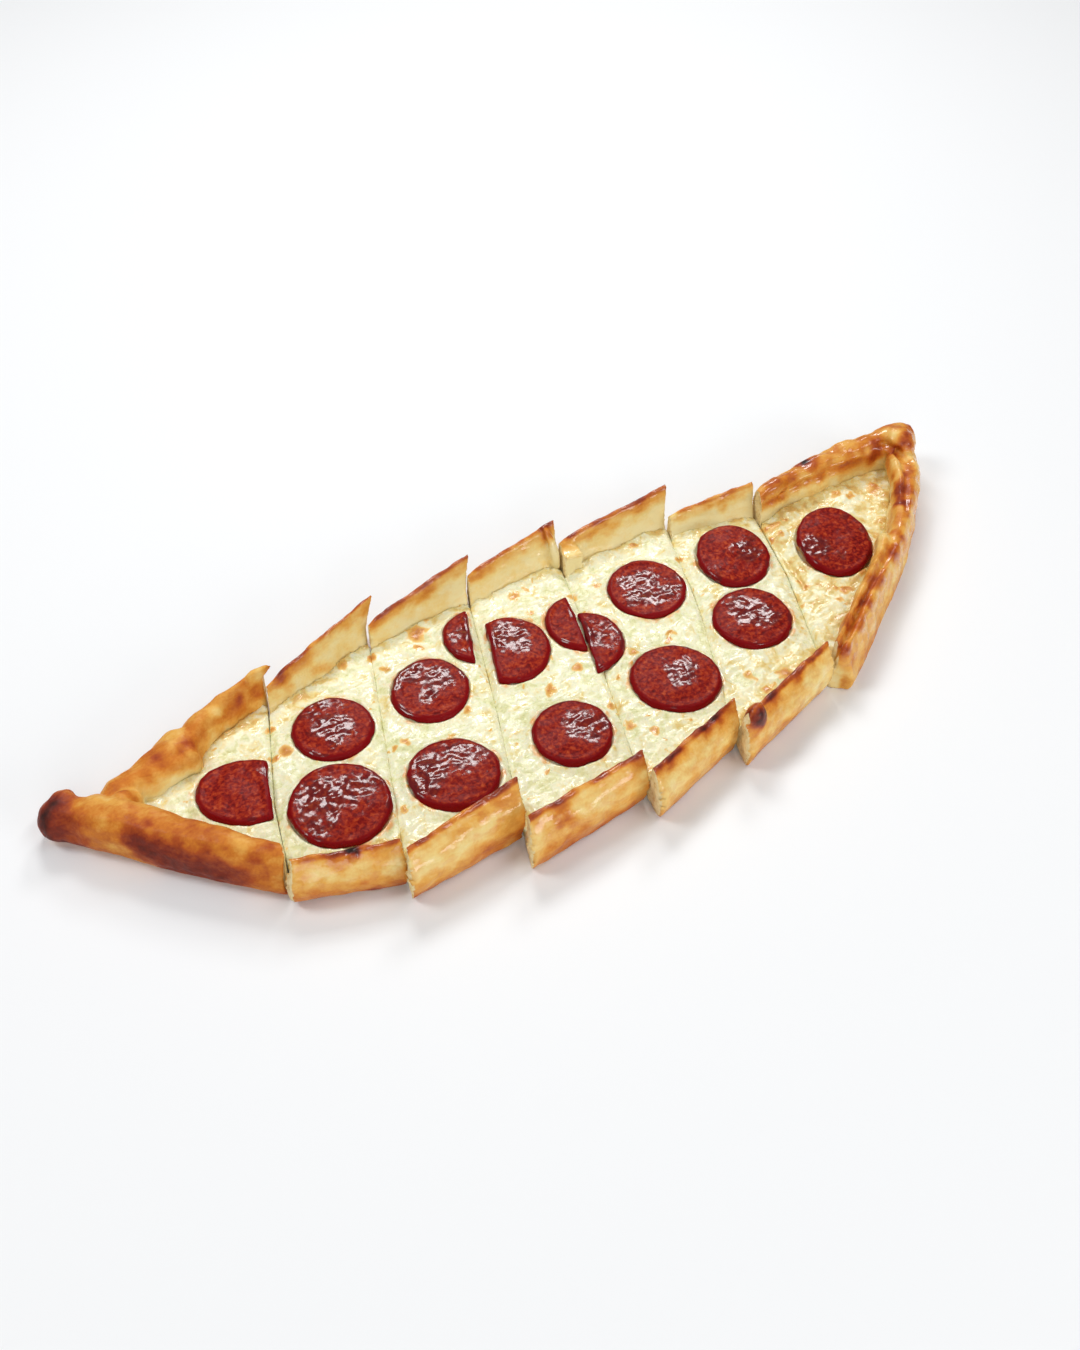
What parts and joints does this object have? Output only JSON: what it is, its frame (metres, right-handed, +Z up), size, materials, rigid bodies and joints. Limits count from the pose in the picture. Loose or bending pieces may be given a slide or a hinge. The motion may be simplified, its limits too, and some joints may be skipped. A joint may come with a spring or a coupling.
{
  "type": "turkish pide",
  "caption": "Boat-shaped flat bread with a folded rim, filled with melted cheese and rounds of sucuk sausage, cut across into slices that have slid a little apart.",
  "frame": {"origin": "middle of the bounding box, on the flat underside that rests on the table", "axes": "+X from the knotted left tip to the folded right tip, +Y away from the near rim, +Z up"},
  "size_m": [0.4162, 0.1464, 0.0264],
  "materials": {
    "crust": "golden baked dough, glossy where it was brushed",
    "cheese": "melted cheese with toasted spots",
    "sucuk": "oily dark red sausage"
  },
  "bodies": {
    "root": {"crust_1": "crust", "crust_2": "crust", "crust_3": "crust", "crust_4": "crust", "crust_5": "crust", "crust_6": "crust", "crust_7": "crust", "cheese_1": "cheese", "cheese_2": "cheese", "cheese_3": "cheese", "cheese_4": "cheese", "cheese_5": "cheese", "cheese_6": "cheese", "cheese_7": "cheese", "sucuk_1": "sucuk", "sucuk_2_far": "sucuk", "sucuk_2_near": "sucuk", "sucuk_3_far": "sucuk", "sucuk_3_near": "sucuk", "sucuk_3_cut": "sucuk", "sucuk_4_cut": "sucuk", "sucuk_4_near": "sucuk", "sucuk_4_right": "sucuk", "sucuk_5_cut": "sucuk", "sucuk_5_far": "sucuk", "sucuk_5_near": "sucuk", "sucuk_6_far": "sucuk", "sucuk_6_near": "sucuk", "sucuk_7": "sucuk"}
  },
  "joints": []
}
